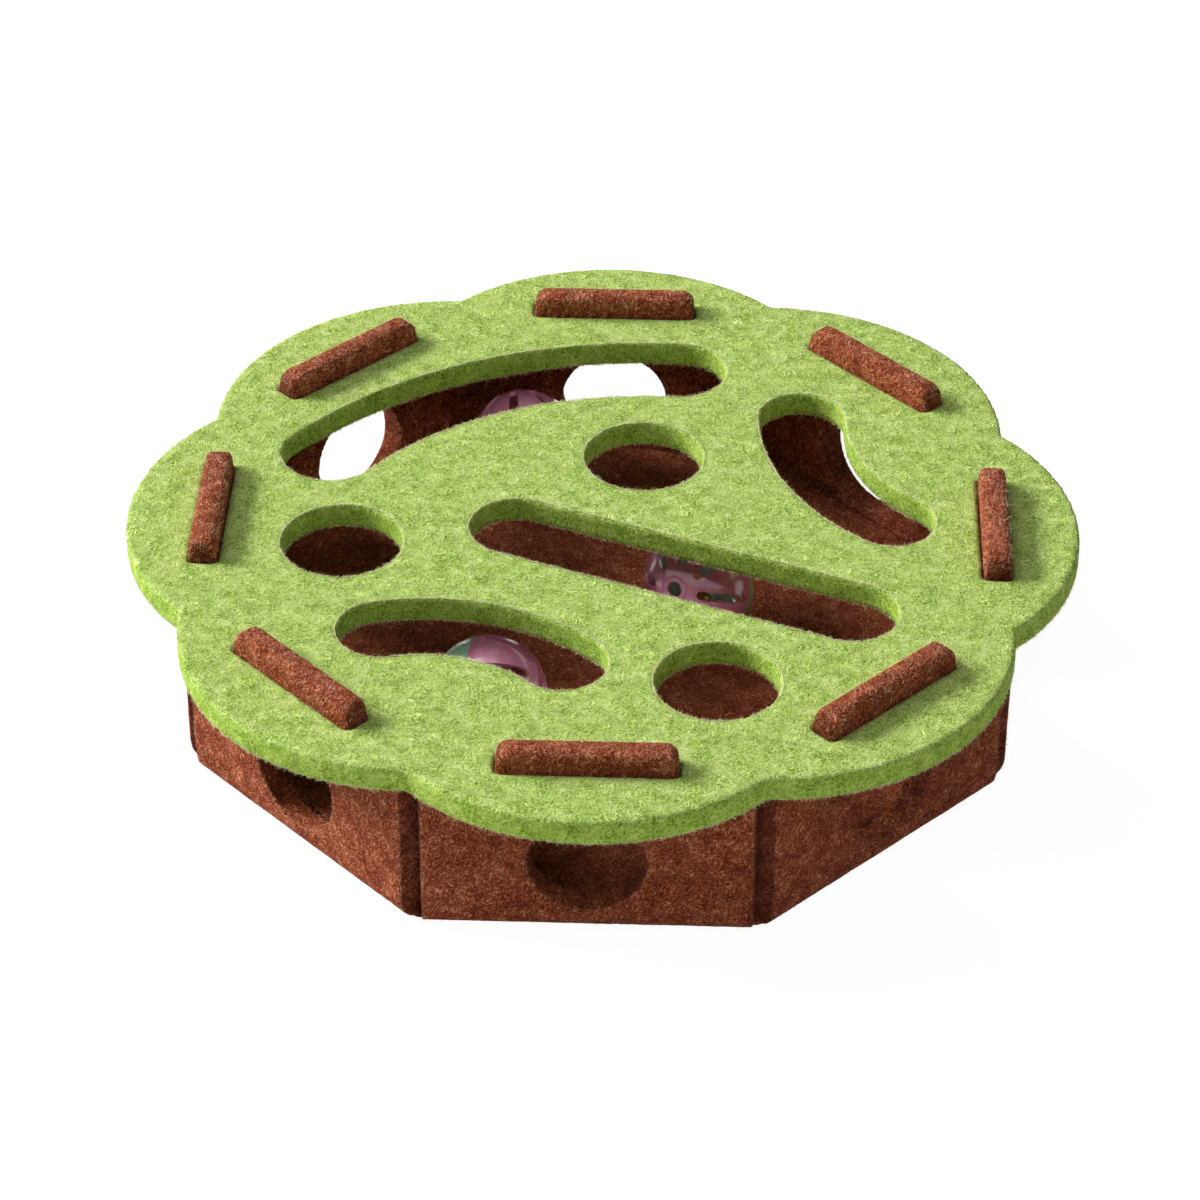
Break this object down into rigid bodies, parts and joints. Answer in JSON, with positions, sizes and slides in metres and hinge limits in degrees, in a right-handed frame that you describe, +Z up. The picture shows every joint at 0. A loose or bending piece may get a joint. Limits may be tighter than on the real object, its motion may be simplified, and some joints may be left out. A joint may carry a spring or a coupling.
{
  "type": "felt cat play box",
  "caption": "Octagonal felt cat play box: a folded tray with paw holes, a scalloped lid with paw openings that locks on tabs, and slotted bell balls that roll inside.",
  "frame": {"origin": "centre of the tray's underside, on the surface that it stands on", "axes": "+Z up, -Y towards the front wall, +X to the right seen from the front"},
  "size_m": [0.3472, 0.3472, 0.079],
  "materials": {
    "tray_felt": "reddish brown needle felt, matte and slightly fuzzy",
    "lid_felt": "light green mottled needle felt, matte and slightly fuzzy",
    "ball_pink": "glossy mauve pink moulded plastic",
    "ball_green": "glossy pale green moulded plastic",
    "bell_brass": "thin stamped brass, slightly dull",
    "pellet_steel": "plain steel ball"
  },
  "bodies": {
    "tray": {"floor_panel": "tray_felt", "wall_flap_1": "tray_felt", "wall_flap_2": "tray_felt", "wall_flap_3": "tray_felt", "wall_flap_4": "tray_felt", "wall_flap_5": "tray_felt", "wall_flap_6": "tray_felt", "wall_flap_7": "tray_felt", "wall_flap_8": "tray_felt"},
    "lid": {"lid": "lid_felt"},
    "ball_1_bell": {"ball_1_bell_cap": "bell_brass", "ball_1_bell_cup": "bell_brass"},
    "ball_1_shell": {"ball_1_plug_half": "ball_pink", "ball_1_socket_half": "ball_green"},
    "ball_1_pellet": {"ball_1_bell_pellet": "pellet_steel"},
    "ball_2_bell": {"ball_2_bell_cap": "bell_brass", "ball_2_bell_cup": "bell_brass"},
    "ball_2_shell": {"ball_2_plug_half": "ball_pink", "ball_2_socket_half": "ball_green"},
    "ball_2_pellet": {"ball_2_bell_pellet": "pellet_steel"},
    "ball_3_bell": {"ball_3_bell_cap": "bell_brass", "ball_3_bell_cup": "bell_brass"},
    "ball_3_shell": {"ball_3_plug_half": "ball_pink", "ball_3_socket_half": "ball_green"},
    "ball_3_pellet": {"ball_3_bell_pellet": "pellet_steel"}
  },
  "joints": [
    {"name": "lid_lift", "type": "slide", "parent": "tray", "child": "lid", "axis": [0, 0, 1], "range_m": [0, 0.15]},
    {"name": "ball_1_roll", "type": "slide", "parent": "tray", "child": "ball_1_bell", "axis": [1, 0, 0], "range_m": [-0.0228, 0.0911]},
    {"name": "ball_1_spin", "type": "hinge", "parent": "ball_1_bell", "child": "ball_1_shell", "pos_m": [-0.03418, 0.10709, 0.0313], "axis": [0, 1, 0], "continuous": true},
    {"name": "ball_1_pellet_bounce", "type": "slide", "parent": "ball_1_bell", "child": "ball_1_pellet", "axis": [0, 0, 1], "range_m": [0, 0.008]},
    {"name": "ball_2_roll", "type": "slide", "parent": "tray", "child": "ball_2_bell", "axis": [1, 0, 0], "range_m": [-0.1517, 0.0803]},
    {"name": "ball_2_spin", "type": "hinge", "parent": "ball_2_bell", "child": "ball_2_shell", "pos_m": [0.0357, 0.01668, 0.0313], "axis": [0, 1, 0], "continuous": true},
    {"name": "ball_2_pellet_bounce", "type": "slide", "parent": "ball_2_bell", "child": "ball_2_pellet", "axis": [0, 0, 1], "range_m": [0, 0.008]},
    {"name": "ball_3_roll", "type": "slide", "parent": "tray", "child": "ball_3_bell", "axis": [1, 0, 0], "range_m": [-0.0726, 0.1502]},
    {"name": "ball_3_spin", "type": "hinge", "parent": "ball_3_bell", "child": "ball_3_shell", "pos_m": [-0.0388, -0.05265, 0.0313], "axis": [0, 1, 0], "continuous": true},
    {"name": "ball_3_pellet_bounce", "type": "slide", "parent": "ball_3_bell", "child": "ball_3_pellet", "axis": [0, 0, 1], "range_m": [0, 0.008]}
  ],
  "couplings": [
    {"joint": "ball_1_spin", "follows": "ball_1_roll", "rad_per_m": 47.619},
    {"joint": "ball_2_spin", "follows": "ball_2_roll", "rad_per_m": 47.619},
    {"joint": "ball_3_spin", "follows": "ball_3_roll", "rad_per_m": 47.619}
  ]
}
